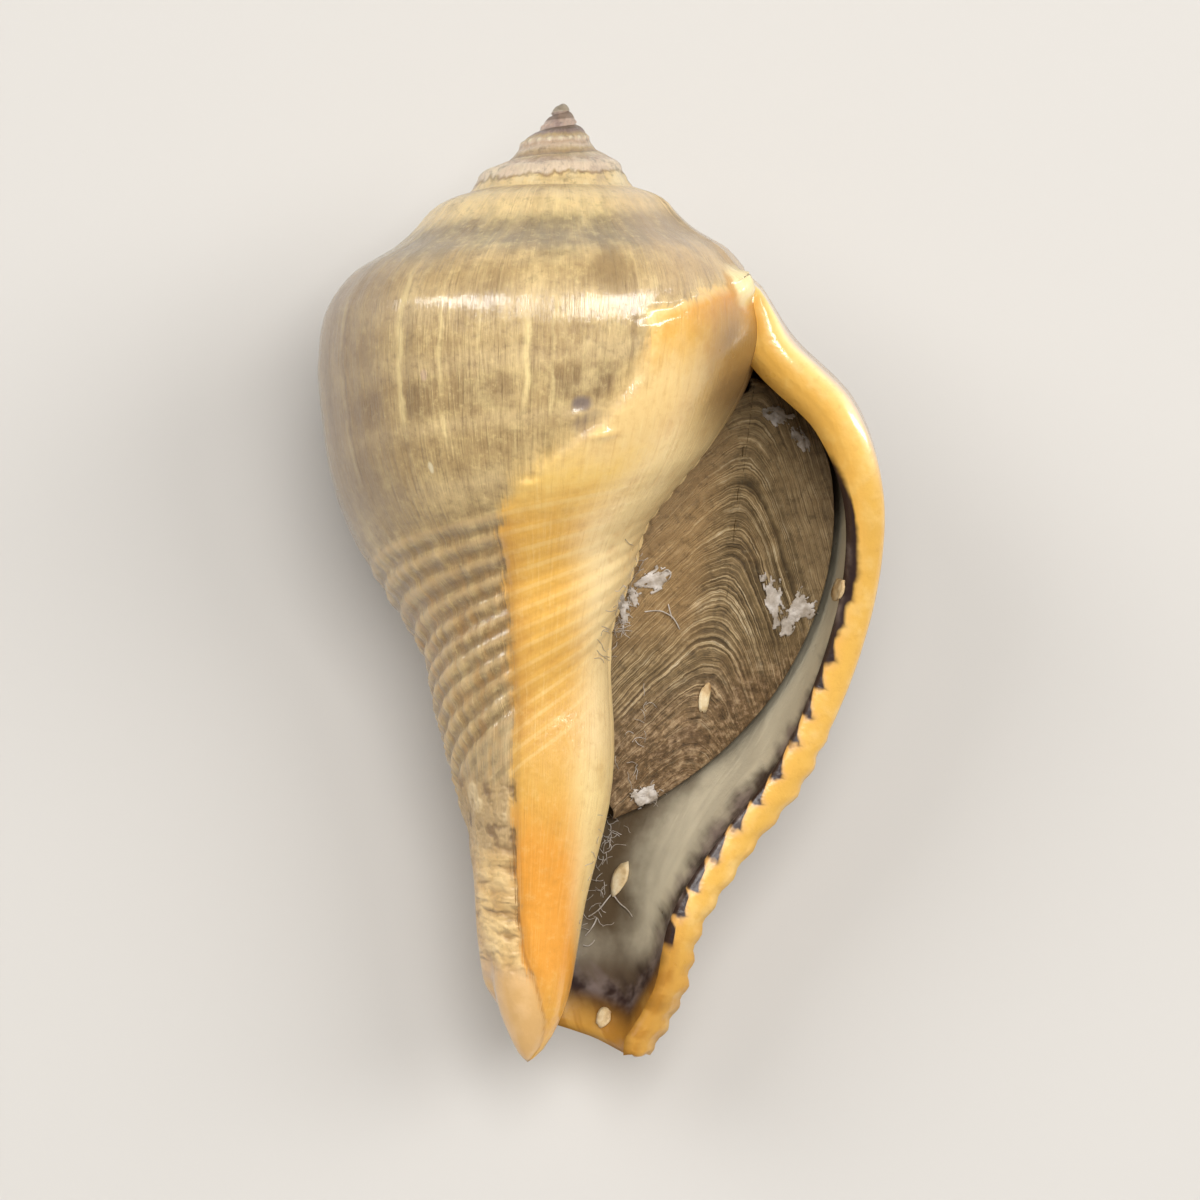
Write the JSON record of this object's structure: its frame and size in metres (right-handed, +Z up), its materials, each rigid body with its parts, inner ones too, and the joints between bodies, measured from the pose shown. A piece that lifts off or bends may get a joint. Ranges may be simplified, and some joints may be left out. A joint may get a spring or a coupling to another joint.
{
  "type": "pear-shaped sea snail shell with operculum",
  "caption": "Pear-shaped sea snail shell lying on its back, with a low stepped spire, a wide open lip, a tapering canal, and a horny operculum in the opening.",
  "frame": {"origin": "centre of the bounding box, at the bottom, where the worn flat spot lies on the floor", "axes": "+Z up, out of the opening; +Y towards the top of the spire; +X towards the outer lip"},
  "size_m": [0.0416, 0.0694, 0.0361],
  "materials": {
    "shell": "semi-gloss porcelain-like shell, beige-tan with olive-brown bands and orange-yellow callus",
    "operculum": "dry matte dark brown horn with arched growth lines"
  },
  "bodies": {
    "root": {"shell": "shell", "operculum": "operculum"}
  },
  "joints": []
}
